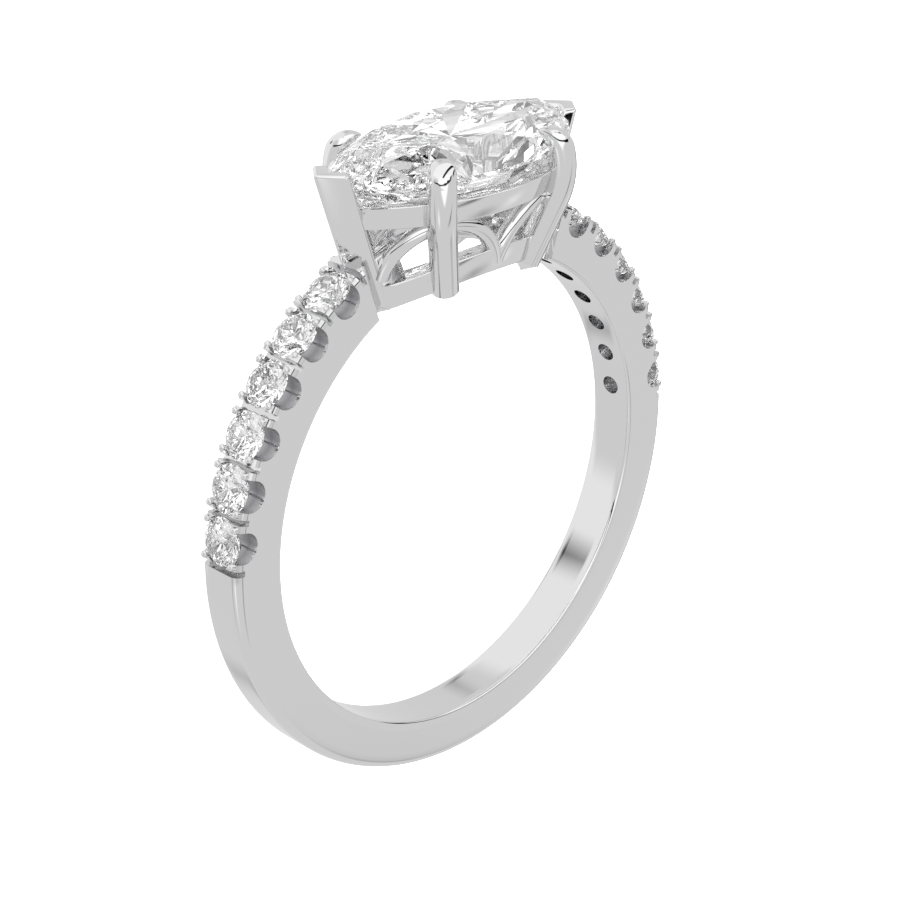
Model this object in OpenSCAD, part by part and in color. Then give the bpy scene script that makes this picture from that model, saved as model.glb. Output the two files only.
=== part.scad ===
// Ring with one marquise stone set across the finger, on a band with round stones on both shoulders.
// Millimetres. The finger hole's centre is the origin. The ring lies on its side: +X runs along the
// marquise (east-west), +Y points to the head, +Z is the upper side; the head end rests on two prongs.

/* [Finger hole and shank] */
// Inside diameter of the finger hole
inside_d = 16.5; // [16.1:0.1:17]
// Width of the band along the finger
shank_w = 1.7; // [1.64:0.02:1.8]
// Thickness of the band, at three and nine o'clock
shank_t = 1.85; // [1.75:0.05:1.95]
// How far the band's outer circle sits towards the head
shank_shift = 0.15; // [0.1:0.01:0.2]
// Rounding of the outer rims
rim_round = 0.32; // [0.24:0.02:0.36]
// Softening of the finger hole's two edges
edge_break = 0.12; // [0.08:0.02:0.16]

/* [Shoulder stones] */
// Diameter of a side stone
side_d = 1.6; // [1.56:0.01:1.62]
// Angle from the head's axis to the first side stone, degrees
first_angle = 32.5; // [32.3:0.1:33]
// Angle from one side stone to the next, degrees
step_angle = 9.8; // [9.7:0.05:9.9]
// Height of the girdle above the finger hole's wall
side_rise = 1.74; // [1.7:0.01:1.78]
// Width of the scallop under a side stone
scallop_w = 1.05; // [0.96:0.02:1.1]
// Height of the scallop's round bottom above the finger hole's wall
scallop_rise = 1.04; // [0.96:0.02:1.1]
// Half the thickness of metal left between the two scallops of a stone
scallop_floor = 0.45; // [0.42:0.01:0.5]
// Width of the groove across the band between two stones
groove_w = 0.2; // [0.16:0.01:0.24]
// Height of the groove's floor above the finger hole's wall
groove_rise = 1.5; // [1.44:0.02:1.56]
// Diameter of the open hole under a side stone
azure_d = 0.65; // [0.55:0.01:0.7]
// Radius of a small corner prong
bead_r = 0.15; // [0.13:0.01:0.16]
// Distance of a corner prong from its stone's centre, along the band
corner_x = 0.62; // [0.61:0.005:0.63]
// Distance of a corner prong from the band's middle
corner_z = 0.63; // [0.61:0.01:0.65]
// Height of the corner prongs' tops above the finger hole's wall
bead_rise = 2.02; // [2:0.01:2.08]

/* [Basket] */
// Height of the upper rail's top above the finger hole's wall
rail_rise = 2.9; // [2.86:0.01:2.92]
// Height of the upper rail
rail_h = 0.75; // [0.65:0.05:0.85]
// Height of the lower rail above the finger hole's wall
sill_h = 0.9; // [0.8:0.05:1]
// Thickness of the basket's wall
wall = 0.65; // [0.6:0.01:0.66]
// Outer radius of a pierced arch
arch_r = 2.2; // [2.14:0.02:2.26]
// Width of an arch's bar
arch_bar = 0.5; // [0.46:0.01:0.56]

/* [Prongs] */
// Diameter of a round prong
prong_d = 0.93; // [0.9:0.01:0.95]
// Radius of the claw's rounded end
claw_r = 0.49; // [0.48:0.01:0.51]
// Half the distance between the two V-prongs' outer corners, at their top
v_reach = 5.79; // [5.75:0.01:5.82]
// Thickness of a V-prong's plate
v_plate = 0.5; // [0.44:0.02:0.54]
// Half the width of a V-prong along the finger
v_half = 0.83; // [0.8:0.01:0.86]
// Height of the V-prongs' flat tops above the finger hole's wall
v_rise = 4; // [3.96:0.01:4.04]

/* [Marquise] */
// Length of the marquise
stone_l = 10.9; // [10.8:0.05:10.95]
// Width of the marquise
stone_w = 5.36; // [5.3:0.02:5.38]
// Height of the girdle's middle above the finger hole's wall
stone_rise = 3.53; // [3.5:0.01:3.56]
// Height of the crown, from girdle to table
crown_h = 0.83; // [0.77:0.02:0.87]
// Depth of the pavilion
pavilion_h = 2.35; // [2.3:0.05:2.4]
// Width of the table as a share of the stone's width
table_share = 0.6; // [0.56:0.01:0.64]

/* [Hidden] */

bore_r = inside_d / 2;
rim_r = bore_r + shank_t;
half_w = shank_w / 2;
reach = 3;
stones_a_side = 6;
gap = 0.03;
round_fn = 128;
small_fn = 32;

// The basket's long walls are parts of two leaning cones that mirror each other.
cone_lean = 0.55;
cone_r = 6.1;
cone_slope = 0.2286;
cone_back = 3.97;
cone_y = bore_r + 0.1;
cone_below = 2;
cone_above = 4;
rail_under = 0.07;
rail_inset = 0.07;

arch_turn = 18;
arch_x = 1.37;
arch_y = bore_r + 0.113;

// A round prong is a straight leg and a bow, in an upright plane through the head's axis.
prong_turn = 41.2;
bow_r = 2.6;
bow_x = 0.98;
bow_y = bore_r + 2.9;
bow_low = -22.8;
bow_high = 18.6;
prong_leg = 2.4;
claw_x = 2.2;
claw_z = 1.75;
claw_y = bore_r + 4.12;
claw_tip_r = 0.09;

v_lean = 19.05;
v_down = 5.5;
v_arm = 49.5;
v_arm_x = v_half / tan(v_arm);

side_girdle_h = 0.06;
side_crown_h = 0.236;
side_pavilion_h = 0.66;
side_table = 0.57;
girdle_h = 0.12;

// Where the facets of every stone turn, as shares of the crown and of the pavilion.
waist_in = 0.5;
waist_up = 0.62;
keel_in = 0.4;
keel_down = 0.47;

// The shoulder's side is cut back beside each V-prong's arm, so that the arm shows down to the finger hole.
beside_z = 0.45;
beside_flare = 0.775;
beside_x = 0.1;
beside_back = 2;
beside_far = 1.5;

dome_share = 1.25;
bead_dome = bead_r * dome_share;
bead_foot = 0.25;
bead_post = bead_rise - side_rise + bead_foot - bead_dome;
slot_share = 0.96;
slot_out = 1.5;
azure_top = 0.1;
claw_share = 0.88;
end_up = 0.05;
end_in = 0.02;

prong_out_z = (bow_r + bow_x) * sin(prong_turn) + prong_d / 2;
rest_y = rim_r - shank_shift - rim_round;
rest_tilt = atan((prong_out_z - half_w) / (bow_y + rest_y));

// Outline of a cut stone: two arcs that meet at points at +X and -X, or one circle when l = w.
function arc_of(l, w) = (l * l + w * w) / (4 * w);
function arc_half(l, w, inset) = acos((arc_of(l, w) - w / 2) / (arc_of(l, w) - inset));
function rim_angle(i) = i <= 8 ? 1 - i / 4 : (i - 8) / 4 - 1;
function rim_side(i) = i <= 8 ? 1 : -1;
function rim_point(i, l, w, inset, y) =
    let (a = arc_half(l, w, inset) * rim_angle(i), r = arc_of(l, w) - inset)
    [r * sin(a), y, rim_side(i) * (r * cos(a) - arc_of(l, w) + w / 2)];

// A brilliant cut: table, star, kite and girdle facets above, girdle facets and mains below.
function cut_points(l, w, girdle, crown, pavilion, table, grow) =
    let (L = l + 2 * grow, W = w + 2 * grow, g = girdle / 2 + grow / 2, c = crown + grow, p = pavilion + grow,
        t = W / 2 * (1 - table), m = t * waist_in, n = W / 2 * keel_in)
    concat(
        [for (i = [0:2:15]) rim_point(i, L, W, t, g + c)],
        [for (i = [1:2:15]) rim_point(i, L, W, m, g + c * waist_up)],
        [for (i = [0:15]) rim_point(i, L, W, 0, g)],
        [for (i = [0:15]) rim_point(i, L, W, 0, -g)],
        [for (i = [1:2:15]) rim_point(i, L, W, n, -g - p * keel_down)],
        [[0, -g - p, 0]]);

function even(i) = (2 * i + 16) % 16;
function odd(i) = (2 * i + 1 + 16) % 16;
cut_faces = concat(
    [[for (i = [0:7]) i]],
    [for (i = [0:7]) [i, 8 + i, (i + 1) % 8]],
    [for (i = [0:7]) [i, 8 + (i + 7) % 8, 16 + even(i)]],
    [for (i = [0:7]) [i, 16 + even(i), 8 + i]],
    [for (i = [0:7]) [8 + i, 16 + even(i), 16 + odd(i)]],
    [for (i = [0:7]) [8 + i, 16 + odd(i), 16 + even(i + 1)]],
    [for (i = [0:15]) [16 + i, 32 + i, 32 + (i + 1) % 16]],
    [for (i = [0:15]) [16 + i, 32 + (i + 1) % 16, 16 + (i + 1) % 16]],
    [for (i = [0:7]) [32 + even(i), 48 + i, 32 + odd(i)]],
    [for (i = [0:7]) [32 + odd(i), 48 + i, 32 + even(i + 1)]],
    [for (i = [0:7]) [32 + even(i), 48 + (i + 7) % 8, 56]],
    [for (i = [0:7]) [32 + even(i), 56, 48 + i]]);

module cut_stone(l, w, girdle, crown, pavilion, table, grow) {
    polyhedron(cut_points(l, w, girdle, crown, pavilion, table, grow), cut_faces);
}

// The pose at rest: the head end is lifted by the two prongs under it.
module resting() {
    rotate([rest_tilt, 0, 0])
        children();
}

// Places a child, built with +Y outwards, at a shoulder stone's place. side is -1 for the left.
module on_shoulder(side, place) {
    rotate([0, 0, -side * (first_angle + place * step_angle)])
        translate([0, bore_r + side_rise, 0])
            children();
}

// Turns a shape built along +Z so that it runs along +Y.
module upright() {
    rotate([-90, 0, 0])
        children();
}

module four_ways() {
    for (sx = [0, 1])
        for (sz = [0, 1])
            mirror([sx, 0, 0])
                mirror([0, 0, sz])
                    children();
}

module both_points() {
    for (sx = [0, 1])
        mirror([sx, 0, 0])
            children();
}

module shank_disc() {
    a = [for (i = [0:4]) 22.5 * i];
    flank = half_w - rim_round;
    translate([0, shank_shift, 0])
        rotate_extrude($fn = round_fn)
            polygon(concat(
                [[0, -half_w]],
                [for (t = a) [rim_r - rim_round + rim_round * sin(t), -flank - rim_round * cos(t)]],
                [for (t = a) [rim_r - rim_round + rim_round * cos(t), flank + rim_round * sin(t)]],
                [[0, half_w]]));
}

module finger_hole() {
    cylinder(h = 2 * reach, r = bore_r, center = true, $fn = round_fn);
    for (s = [0, 1])
        mirror([0, 0, s])
            translate([0, 0, half_w - edge_break])
                cylinder(h = 2 * edge_break, r1 = bore_r, r2 = bore_r + 2 * edge_break, $fn = round_fn);
}

// One leaning cone; moved in by inset it is the wall's inner face.
module wall_cone(inset) {
    translate([0, cone_y, -cone_back])
        rotate([-90 - cone_lean, 0, 0])
            translate([0, 0, -cone_below])
                cylinder(h = cone_below + cone_above, r1 = cone_r - inset - cone_slope * cone_below,
                    r2 = cone_r - inset + cone_slope * cone_above, $fn = round_fn);
}

module basket_form(inset) {
    intersection() {
        wall_cone(inset);
        mirror([0, 0, 1])
            wall_cone(inset);
    }
}

module basket_hollow() {
    intersection() {
        basket_form(wall);
        translate([-reach * 2, bore_r - 1, -reach])
            cube([reach * 4, 1 + rail_rise + gap, reach * 2]);
    }
}

module arch() {
    rotate([0, -arch_turn, 0])
        translate([-arch_x, arch_y, 0])
            difference() {
                cylinder(h = reach * 2, r = arch_r, $fn = round_fn);
                translate([0, 0, -1])
                    cylinder(h = reach * 2 + 2, r = arch_r - arch_bar, $fn = round_fn);
                translate([-reach, -reach, -1])
                    cube([reach * 2, reach, reach * 2 + 2]);
            }
}

module rails_and_arches() {
    translate([-reach * 2, bore_r + rail_rise - rail_h, -reach])
        cube([reach * 4, rail_h, reach * 2]);
    difference() {
        cylinder(h = reach * 2, r = bore_r + sill_h, center = true, $fn = round_fn);
        cylinder(h = reach * 3, r = bore_r + rail_under, center = true, $fn = round_fn);
        translate([-reach * 4, -reach * 8, -reach * 2])
            cube([reach * 8, reach * 8 + 1, reach * 4]);
    }
    four_ways()
        arch();
}

// Everything behind the V-prong's two outer faces, a little further in than they are.
module behind_v() {
    translate([v_reach - rail_inset, bore_r + v_rise, 0])
        rotate([0, 0, -v_lean])
            translate([0, -v_down * 2, 0])
                upright()
                    linear_extrude(v_down * 4)
                        polygon([[0, 0], [-reach * tan(90 - v_arm) * cos(v_lean), reach], [-reach * 8, reach],
                            [-reach * 8, -reach], [-reach * tan(90 - v_arm) * cos(v_lean), -reach]]);
}

module basket_wall() {
    intersection() {
        difference() {
            basket_form(0);
            basket_hollow();
        }
        rails_and_arches();
        behind_v();
        mirror([1, 0, 0])
            behind_v();
    }
}

module v_prong() {
    c = cos(v_lean);
    back = v_plate / sin(v_arm);
    intersection() {
        translate([v_reach, bore_r + v_rise, 0])
            rotate([0, 0, -v_lean])
                translate([0, -v_down, 0])
                    upright()
                        linear_extrude(v_down + 1)
                            polygon([[0, 0], [-v_arm_x * c, v_half],
                                [-(v_arm_x + v_plate * sin(v_arm)) * c, v_half - v_plate * cos(v_arm)], [-back * c, 0],
                                [-(v_arm_x + v_plate * sin(v_arm)) * c, v_plate * cos(v_arm) - v_half],
                                [-v_arm_x * c, -v_half]]);
        translate([0, bore_r - 2, -reach])
            cube([reach * 3, v_rise + 2, reach * 2]);
    }
}

module round_prong() {
    rotate([0, -prong_turn, 0])
        translate([bow_x, bow_y, 0]) {
            rotate([0, 0, bow_low])
                rotate_extrude(angle = bow_high - bow_low, $fn = round_fn)
                    translate([bow_r, 0])
                        circle(d = prong_d, $fn = small_fn);
            rotate([0, 0, bow_low])
                translate([bow_r, -prong_leg, 0]) {
                    upright()
                        cylinder(h = prong_leg, d = prong_d, $fn = small_fn);
                    translate([0, end_up, 0])
                        sphere(d = prong_d - end_in, $fn = small_fn);
                }
            rotate([0, 0, bow_high])
                translate([bow_r, 0, 0])
                    sphere(r = claw_r, $fn = small_fn);
        }
    claw();
}

module claw() {
    top = bow_r * cos(bow_high) + bow_x;
    x = top * cos(prong_turn);
    z = top * sin(prong_turn);
    y = bow_y + bow_r * sin(bow_high);
    flat = norm([claw_x - x, claw_z - z]);
    long = norm([flat, claw_y - y]);
    translate([x, y, z])
        rotate([0, -atan2(claw_z - z, claw_x - x), 0])
            rotate([0, 90, 0])
                rotate([-atan2(claw_y - y, flat), 0, 0])
                    cylinder(h = long, r1 = claw_r * claw_share, r2 = claw_tip_r, $fn = small_fn);
}

// What one side stone takes out of the band before its prongs stand.
module shoulder_cut() {
    upright()
        cylinder(h = 1, r = side_d / 2 + gap, $fn = small_fn);
    for (s = [0, 1])
        mirror([0, 0, s])
            translate([0, scallop_rise + scallop_w / 2 - side_rise, scallop_floor]) {
                cylinder(h = 1, r = scallop_w / 2, $fn = small_fn);
                translate([-scallop_w * slot_share / 2, 0, 0])
                    cube([scallop_w * slot_share, slot_out, 1]);
            }
}

module corner_prong(sx, sz) {
    translate([sx * corner_x, -bead_foot, sz * corner_z]) {
        upright()
            cylinder(h = bead_post, r = bead_r, $fn = small_fn);
        intersection() {
            upright()
                cylinder(h = 1, r = bead_r, $fn = small_fn);
            translate([0, bead_post, 0])
                sphere(r = bead_dome, $fn = small_fn);
        }
    }
}

module corner_prongs() {
    for (sx = [-1, 1])
        for (sz = [-1, 1])
            corner_prong(sx, sz);
}

// Beside the head stands one more pair on each shoulder, behind the first groove.
module head_side_prongs() {
    for (side = [-1, 1])
        for (sz = [-1, 1])
            on_shoulder(side, -1)
                corner_prong(side, sz);
}

// The stone's own room, with its clearance, and the open hole under it.
module side_seat() {
    g = side_girdle_h / 2 + gap;
    r = side_d / 2 + gap;
    upright()
        rotate_extrude($fn = small_fn)
            polygon([[0, -g - side_pavilion_h], [r * (1 - keel_in), -g - side_pavilion_h * keel_down], [r, -g], [r, g],
                [r * side_table, g + side_crown_h], [0, g + side_crown_h]]);
    upright()
        translate([0, 0, -side_rise - 1])
            cylinder(h = side_rise + 1 - azure_top, d = azure_d, $fn = small_fn);
}

module groove(side, place) {
    rotate([0, 0, -side * (first_angle + place * step_angle)])
        translate([-groove_w / 2, bore_r + groove_rise, -reach])
            cube([groove_w, 1, reach * 2]);
}

module every_stone() {
    for (side = [-1, 1])
        for (k = [0:stones_a_side - 1])
            on_shoulder(side, k)
                children();
}

// What is cut off the shoulder's side beside one arm of a V-prong.
module beside_v() {
    c = cos(v_lean);
    inner = [-beside_z / tan(v_arm) * c - beside_x, beside_z];
    corner = [-v_half / tan(v_arm) * c - beside_x, v_half - beside_x / 2];
    translate([v_reach, bore_r + v_rise, 0])
        rotate([0, 0, -v_lean])
            translate([0, -v_down, 0])
                upright()
                    linear_extrude(v_down)
                        polygon([inner, corner, [-beside_back, corner[1]], [-beside_back, beside_far],
                            [inner[0] + (beside_far - beside_z) * beside_flare, beside_far]]);
}

module band() {
    difference() {
        shank_disc();
        every_stone()
            shoulder_cut();
        four_ways()
            beside_v();
    }
}

module setting() {
    color("silver")
        resting()
            difference() {
                union() {
                    difference() {
                        union() {
                            band();
                            both_points()
                                v_prong();
                        }
                        basket_hollow();
                    }
                    basket_wall();
                    four_ways()
                        round_prong();
                    every_stone()
                        corner_prongs();
                    head_side_prongs();
                }
                for (side = [-1, 1])
                    for (k = [-0.5:1:stones_a_side - 0.5])
                        groove(side, k);
                every_stone()
                    side_seat();
                marquise_room();
                finger_hole();
            }
}

// The marquise with its clearance.
module marquise_room() {
    translate([0, bore_r + stone_rise, 0])
        cut_stone(stone_l, stone_w, girdle_h, crown_h, pavilion_h, table_share, gap);
}

module marquise_stone() {
    color("white")
        resting()
            translate([0, bore_r + stone_rise, 0])
                cut_stone(stone_l, stone_w, girdle_h, crown_h, pavilion_h, table_share, 0);
}

module side_stone(side, place) {
    resting()
        on_shoulder(side, place)
            cut_stone(side_d, side_d, side_girdle_h, side_crown_h, side_pavilion_h, side_table, 0);
}

module side_stone_01() {
    color("white")
        side_stone(-1, 0);
}

module side_stone_02() {
    color("white")
        side_stone(-1, 1);
}

module side_stone_03() {
    color("white")
        side_stone(-1, 2);
}

module side_stone_04() {
    color("white")
        side_stone(-1, 3);
}

module side_stone_05() {
    color("white")
        side_stone(-1, 4);
}

module side_stone_06() {
    color("white")
        side_stone(-1, 5);
}

module side_stone_07() {
    color("white")
        side_stone(1, 0);
}

module side_stone_08() {
    color("white")
        side_stone(1, 1);
}

module side_stone_09() {
    color("white")
        side_stone(1, 2);
}

module side_stone_10() {
    color("white")
        side_stone(1, 3);
}

module side_stone_11() {
    color("white")
        side_stone(1, 4);
}

module side_stone_12() {
    color("white")
        side_stone(1, 5);
}

setting();
marquise_stone();
side_stone_01();
side_stone_02();
side_stone_03();
side_stone_04();
side_stone_05();
side_stone_06();
side_stone_07();
side_stone_08();
side_stone_09();
side_stone_10();
side_stone_11();
side_stone_12();
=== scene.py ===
# %% [markdown]
# # An east-west ring
# A marquise stone lies across the finger in an open basket, and twelve round stones run down the two
# shoulders of a polished band. The ring lies on its side: its head end rests on two of the four round
# prongs, and the far end of the band rests on its rim.
#
# The solids of the frame already have the right sizes. Their metal is one cast body with knife-sharp
# edges, which real polished metal never has, so this lesson makes that body again with soft rims, round
# wires, bowed prongs and filed claws. The stones keep the frame's solids and get a better material.

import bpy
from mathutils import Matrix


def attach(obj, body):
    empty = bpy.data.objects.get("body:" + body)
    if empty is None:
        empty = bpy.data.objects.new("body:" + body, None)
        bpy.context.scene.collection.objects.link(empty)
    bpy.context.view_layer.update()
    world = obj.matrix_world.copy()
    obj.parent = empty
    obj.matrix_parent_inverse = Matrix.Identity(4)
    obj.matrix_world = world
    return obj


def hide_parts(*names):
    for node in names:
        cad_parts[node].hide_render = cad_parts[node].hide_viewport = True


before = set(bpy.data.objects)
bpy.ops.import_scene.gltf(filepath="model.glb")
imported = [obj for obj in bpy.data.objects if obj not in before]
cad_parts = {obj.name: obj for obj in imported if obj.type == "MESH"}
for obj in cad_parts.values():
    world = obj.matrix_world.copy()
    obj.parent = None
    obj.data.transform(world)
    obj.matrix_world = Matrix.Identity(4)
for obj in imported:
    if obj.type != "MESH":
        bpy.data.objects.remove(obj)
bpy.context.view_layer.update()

import bpy
import bmesh
import math
from mathutils import Matrix, Vector

print("nodes:", sorted(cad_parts))

# %% [markdown]
# ## One set of axes for the ring
# A goldsmith measures a ring from the finger hole: how far across (T, west to east), how far out (U, from
# the hole's centre to the stone) and how far along the finger (F). Everything below is built in these
# axes and in millimetres. One matrix then lays the ring down: it turns the ring by the few degrees that
# the prongs lift the head, and turns millimetres into metres.

# %% Axes and the ring's main sizes
MM = 0.001
REST_TILT = math.radians(5.4241)
REST = Matrix.Rotation(REST_TILT, 4, "X")
LAY = REST @ Matrix.Scale(MM, 4)

BORE = 8.25               # radius of the finger hole
HALF_BAND = 0.85          # half the band's width along the finger
OUTER = 10.10             # radius of the band's outer circle
OUTER_SHIFT = 0.15        # how far that circle is moved towards the head
FIRST = 32.5              # degrees from the head to the first shoulder stone
STEP = 9.8                # degrees from one shoulder stone to the next
A_SIDE = 6                # shoulder stones on each side
GIRDLE_AT = BORE + 1.74   # radius at which the shoulder stones' girdles lie

print("finger hole:", 2 * BORE, "mm, band:", 2 * HALF_BAND, "mm wide, shoulder stones:", 2 * A_SIDE)

# %% [markdown]
# ## Skins from points
# Sheet, wire and castings are all closed skins here. They could be modelled by hand, but every shape on
# this ring follows a rule, so two helpers are enough: one lays a skin over a row of equal sections, and
# one turns a profile on a lathe.

# %% Objects and meshes
MERGE = 1e-5
scene = bpy.context.scene


def make_object(name, mesh):
    thing = bpy.data.objects.new(name, mesh)
    scene.collection.objects.link(thing)
    return thing


def make_mesh(name, points, faces):
    mesh = bpy.data.meshes.new(name)
    mesh.from_pydata([tuple(p) for p in points], [], faces)
    mesh.validate()
    return mesh


def tidy(mesh):
    """Merges doubled points and turns every face outwards."""
    bm = bmesh.new()
    bm.from_mesh(mesh)
    bmesh.ops.remove_doubles(bm, verts=bm.verts, dist=MERGE)
    bmesh.ops.recalc_face_normals(bm, faces=bm.faces)
    bm.to_mesh(mesh)
    bm.free()
    return mesh


def faces_of(thing):
    return len(thing.data.polygons)


# %% Lofts and lathe work
ON_AXIS = 1e-9


def loft(name, rings, closed=False):
    """A skin over equal rings of points; open lofts get a cap at each end."""
    n = len(rings[0])
    points = [p for ring in rings for p in ring]
    faces = []
    for i in range(len(rings) if closed else len(rings) - 1):
        a, b = i * n, (i + 1) % len(rings) * n
        faces += [(a + j, a + (j + 1) % n, b + (j + 1) % n, b + j) for j in range(n)]
    if not closed:
        last = (len(rings) - 1) * n
        faces += [tuple(range(n))[::-1], tuple(range(last, last + n))]
    return tidy(make_mesh(name, points, faces))


def lathe(name, profile, sides):
    """A profile of (radius, height) turned about U; both its ends lie on the axis."""
    points, faces, rings = [], [], []
    turns = [2 * math.pi * k / sides for k in range(sides)]
    for r, u in profile:
        if r < ON_AXIS:
            rings.append([len(points)])
            points.append((0, u, 0))
        else:
            rings.append(range(len(points), len(points) + sides))
            points += [(r * math.cos(a), u, r * math.sin(a)) for a in turns]
    for a, b in zip(rings, rings[1:]):
        for k in range(sides):
            quad = [a[k % len(a)], a[(k + 1) % len(a)], b[(k + 1) % len(b)], b[k % len(b)]]
            faces.append(tuple(dict.fromkeys(quad)))
    return tidy(make_mesh(name, points, faces))


# %% [markdown]
# ## The saw and the polishing wheel
# A Boolean modifier saws and drills, and a Bevel modifier breaks sharp edges as polishing does. Both are
# applied at once, so that each step's result can be counted and cut again.

# %% Cutting and rounding
def shaped(thing):
    """Puts the finished shape into the object and takes its modifiers off."""
    bpy.context.view_layer.update()
    shape = thing.evaluated_get(bpy.context.evaluated_depsgraph_get())
    mesh = bpy.data.meshes.new_from_object(shape)
    thing.modifiers.clear()
    thing.data = mesh
    return thing


def cut_with(thing, tools, operation="DIFFERENCE"):
    """One exact Boolean with all the tools at once; the tools are used up."""
    group = bpy.data.collections.new("tools")
    scene.collection.children.link(group)
    for tool in tools:
        group.objects.link(tool)
    cut = thing.modifiers.new("cut", "BOOLEAN")
    cut.operation = operation
    cut.operand_type = "COLLECTION"
    cut.collection = group
    cut.solver = "EXACT"
    shaped(thing)
    for tool in tools:
        bpy.data.objects.remove(tool)
    bpy.data.collections.remove(group)
    return thing


def bevel(thing, width, segments, degrees):
    """Rounds every edge where two faces meet more steeply than this."""
    soft = thing.modifiers.new("soft", "BEVEL")
    soft.width = width
    soft.segments = segments
    soft.limit_method = "ANGLE"
    soft.angle_limit = math.radians(degrees)
    return shaped(thing)


# %% The head's four corners
CORNERS = [(1, 1), (-1, 1), (1, -1), (-1, -1)]   # signs of T and F


def mirrored(thing, x, z):
    """A copy of the object, mirrored across the head's two planes."""
    mesh = thing.data.copy()
    mesh.transform(Matrix.Diagonal((x, 1, z, 1)))
    if x * z < 0:
        mesh.flip_normals()
    return make_object(thing.name + "_copy", mesh)


# %% [markdown]
# ## Materials
# The metal is polished white gold: one metallic surface with a slightly uneven polish, a little rougher
# in the shoulders' cuts, where no wheel comes, and with painted shade there: a darker tone stands in for
# the shadow in the cuts. The stones are clear, with the refractive index of diamond. Nodes can be wired
# one by one, but shader maths reads better as plain Python. The small class below wraps a socket: it can
# be added, multiplied and divided, and each sign makes one Math node.

# %% Shader expressions
class Socket:
    def __init__(self, tree, value=None):
        self.tree, self.value = tree, value

    def make(self, kind, settings=None, output=0, **inputs):
        """Any node, by its type and settings, and the values or sockets of its inputs.

        An input goes by its name, with _ for a space, or by its number after a _.
        """
        node = self.tree.nodes.new(kind)
        for key, setting in (settings or {}).items():
            setattr(node, key, setting)
        for key, value in inputs.items():
            numbered = key[0] == "_" and key[1:].isdigit()
            slot = node.inputs[int(key[1:]) if numbered else key.replace("_", " ")]
            if isinstance(value, Socket):
                value.feed(slot)
            else:
                slot.default_value = value
        return Socket(self.tree, node.outputs[output])

    def feed(self, slot):
        self.tree.links.new(self.value, slot)

    def maths(self, operation, other=0):
        return self.make("ShaderNodeMath", {"operation": operation}, _0=self, _1=other)

    def __add__(self, other):
        return self.maths("ADD", other)

    __radd__ = __add__

    def __mul__(self, other):
        return self.maths("MULTIPLY", other)

    __rmul__ = __mul__

    def __sub__(self, other):
        return self.maths("SUBTRACT", other)

    def __rsub__(self, other):
        return self.make("ShaderNodeMath", {"operation": "SUBTRACT"}, _0=other, _1=self)

    def __truediv__(self, other):
        return self.maths("DIVIDE", other)

    def clamped(self, low, high):
        return self.maths("MAXIMUM", low).maths("MINIMUM", high)


# %% New materials
WHITE = (1, 1, 1, 1)


def principled(material):
    return material.node_tree.nodes["Principled BSDF"]


def new_material(name, **values):
    """A material whose main shader has these values; _ stands for a space in a socket's name."""
    material = bpy.data.materials.new(name)
    material.use_nodes = True
    for key, value in values.items():
        principled(material).inputs[key.replace("_", " ")].default_value = value
    return material


# %% Metal and stone
POLISHED_TONE = (0.74, 0.74, 0.745, 1)
# painted shade: this darker tone stands in for the shadow in the shoulders' cuts
PAINTED_CUT_SHADE_TONE = (0.46, 0.46, 0.47, 1)
POLISH, ROUGHEST = 0.05, 0.25        # the roughness stays between these
CLOUDS, CUT_ROUGHNESS = 0.03, 0.15   # what the clouds and the cuts add to it
CLOUD_SCALE = 900.0
DIAMOND_IOR = 2.42

metal = new_material("polished_white_metal", Metallic=1)
maker = Socket(metal.node_tree)
recess = maker.make("ShaderNodeAttribute", {"attribute_name": "recess"}, "Fac")
# in the cuts the mask mixes in the painted shade tone, and below it also adds roughness
tone = maker.make("ShaderNodeMix", {"data_type": "RGBA"}, 2, _0=recess, _6=POLISHED_TONE, _7=PAINTED_CUT_SHADE_TONE)
tone.feed(principled(metal).inputs["Base Color"])
place = maker.make("ShaderNodeTexCoord", output="Object")
cloud = maker.make("ShaderNodeTexNoise", Vector=place, Scale=CLOUD_SCALE, Detail=3.0)
polish = (POLISH + CLOUDS * cloud + CUT_ROUGHNESS * recess).clamped(POLISH, ROUGHEST)
polish.feed(principled(metal).inputs["Roughness"])

diamond = new_material("clear_stone", Base_Color=WHITE, Roughness=0, IOR=DIAMOND_IOR, Transmission_Weight=1)
print("materials:", [m.name for m in bpy.data.materials])

# %% [markdown]
# ## The band
# The band is a plain hoop: a true circle inside for the finger, and an outer circle moved 0.15 mm
# towards the head, so the shoulders are a little thicker than the back. Lathe work gives its outer rims
# a wide rounding and its inner edges a small one. A modifier could round a hoop too, but a lofted
# section keeps both roundings exact, so the section is written out and carried round the circle.

# %% The band's section
RIM, RIM_STEPS = 0.32, 9      # rounding of the outer rims
EDGE, EDGE_STEPS = 0.12, 4    # rounding of the inner edges
FLAT_STEPS = 6


def quarter(r, f, size, start, steps):
    """A quarter circle round the point (r, f), from its start in degrees."""
    turns = [math.radians(start + 90 * k / steps) for k in range(steps + 1)]
    return [(r + size * math.cos(a), f + size * math.sin(a)) for a in turns]


def between(a, b, steps):
    """The points of a straight line, without its two ends."""
    return [tuple(p + (q - p) * k / steps for p, q in zip(a, b)) for k in range(1, steps)]


def band_section(inner, outer):
    """Points (radius, F) round the band's section, starting on the inside."""
    corners = [quarter(inner + EDGE, EDGE - HALF_BAND, EDGE, 180, EDGE_STEPS),
               quarter(outer - RIM, RIM - HALF_BAND, RIM, 270, RIM_STEPS),
               quarter(outer - RIM, HALF_BAND - RIM, RIM, 0, RIM_STEPS),
               quarter(inner + EDGE, HALF_BAND - EDGE, EDGE, 90, EDGE_STEPS)]
    section = []
    for points, following in zip(corners, corners[1:] + corners[:1]):
        section += points + between(points[-1], following[0], FLAT_STEPS)
    return section


print("the band's section has", len(band_section(BORE, OUTER)), "points")

# %% Band blank
AROUND = 360
OFF_AXIS = 0.37   # the first section stands this share of a step off the head's axis, where cuts lie


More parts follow.
